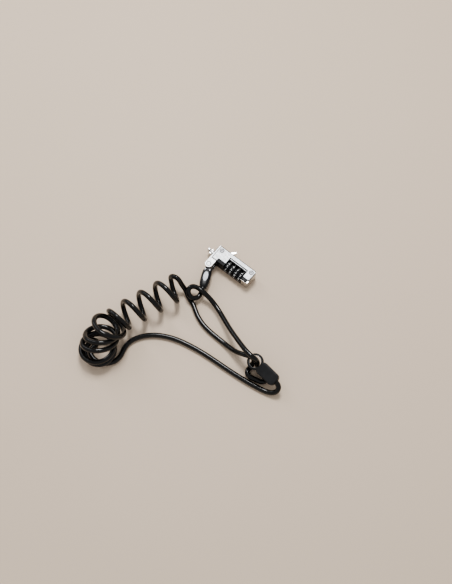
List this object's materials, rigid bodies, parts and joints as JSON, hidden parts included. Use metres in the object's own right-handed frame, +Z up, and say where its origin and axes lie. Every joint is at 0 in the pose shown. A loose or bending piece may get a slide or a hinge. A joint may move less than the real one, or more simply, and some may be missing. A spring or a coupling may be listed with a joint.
{
  "type": "laptop cable lock",
  "caption": "Combination cable lock for a laptop's security slot: chrome lock body with number wheels, T-bar anchor, swivelling cable end, coiled steel cable and end loop.",
  "frame": {"origin": "middle of the lock body's flat underside, on the plane everything rests on", "axes": "+X along the lock body away from the laptop (the T-bar points to -X), +Y to the body's back edge where the release fin stands, +Z up"},
  "size_m": [0.1638, 0.167, 0.0376],
  "materials": {
    "cast_body": "zinc casting with a bright satin chrome finish",
    "bright_plate": "fine satin chrome",
    "polished_steel": "polished",
    "plain_steel": "plain, lightly oiled",
    "yellow_brass": "turned",
    "black_moulding": "fine moulded grain",
    "wheel_plastic": "smooth with filled white numerals",
    "grip_moulding": "soft satin",
    "inlay_plastic": "silver-grey, plain",
    "cable_vinyl": "glossy vinyl jacket",
    "soft_rubber": "matt"
  },
  "bodies": {
    "cable": {"ferrule_eye": "plain_steel", "ferrule_boot": "black_moulding", "cable_jacket": "cable_vinyl", "cable_core": "plain_steel", "end_loop_body": "grip_moulding", "end_loop_eyelet": "polished_steel", "end_crimp": "plain_steel", "ferrule_inlay": "inlay_plastic"},
    "lock_head": {"lower_housing": "cast_body", "top_cover": "bright_plate", "cable_arm": "polished_steel", "wheel_frame": "black_moulding", "index_line": "bright_plate", "housing_screws": "polished_steel", "wheel_spacers": "plain_steel", "detent_spring": "plain_steel", "slot_collar": "polished_steel", "slot_cushion": "soft_rubber", "pivot_rivet": "polished_steel", "pivot_washers": "plain_steel"},
    "wheel_1": {"number_wheel_1": "wheel_plastic", "code_sleeve_1": "yellow_brass"},
    "wheel_2": {"number_wheel_2": "wheel_plastic", "code_sleeve_2": "yellow_brass"},
    "wheel_3": {"number_wheel_3": "wheel_plastic", "code_sleeve_3": "yellow_brass"},
    "wheel_4": {"number_wheel_4": "wheel_plastic", "code_sleeve_4": "yellow_brass"},
    "release": {"release_slider": "polished_steel", "locking_spindle": "plain_steel", "return_spring": "plain_steel"},
    "anchor": {"tbar": "plain_steel"},
    "code_setter": {"code_set_screw": "yellow_brass"}
  },
  "joints": [
    {"name": "head_swivel", "type": "hinge", "parent": "cable", "child": "lock_head", "pos_m": [-0.01785, -0.0137, 0.0064], "axis": [0, 0, 1], "range_deg": [-35, 90]},
    {"name": "wheel_1_turn", "type": "hinge", "parent": "lock_head", "child": "wheel_1", "pos_m": [-0.00334, -0.003, 0.0064], "axis": [1, 0, 0], "continuous": true},
    {"name": "wheel_2_turn", "type": "hinge", "parent": "lock_head", "child": "wheel_2", "pos_m": [0.00172, -0.003, 0.0064], "axis": [1, 0, 0], "continuous": true},
    {"name": "wheel_3_turn", "type": "hinge", "parent": "lock_head", "child": "wheel_3", "pos_m": [0.00678, -0.003, 0.0064], "axis": [1, 0, 0], "continuous": true},
    {"name": "wheel_4_turn", "type": "hinge", "parent": "lock_head", "child": "wheel_4", "pos_m": [0.01184, -0.003, 0.0064], "axis": [1, 0, 0], "continuous": true},
    {"name": "release_slide", "type": "slide", "parent": "lock_head", "child": "release", "axis": [-1, 0, 0], "range_m": [0, 0.0032], "stiffness_N_per_m": 400, "springref_m": -0.002, "deforming": ["return_spring"]},
    {"name": "anchor_turn", "type": "hinge", "parent": "lock_head", "child": "anchor", "pos_m": [-0.02, -0.0007, 0.0064], "axis": [1, 0, 0], "range_deg": [-1, 91]},
    {"name": "code_setter_turn", "type": "hinge", "parent": "lock_head", "child": "code_setter", "pos_m": [0.0174, 0.0024, 0.001], "axis": [0, 0, 1], "range_deg": [0, 90]}
  ],
  "couplings": [
    {"joint": "anchor_turn", "follows": "release_slide", "rad_per_m": 490.87}
  ]
}
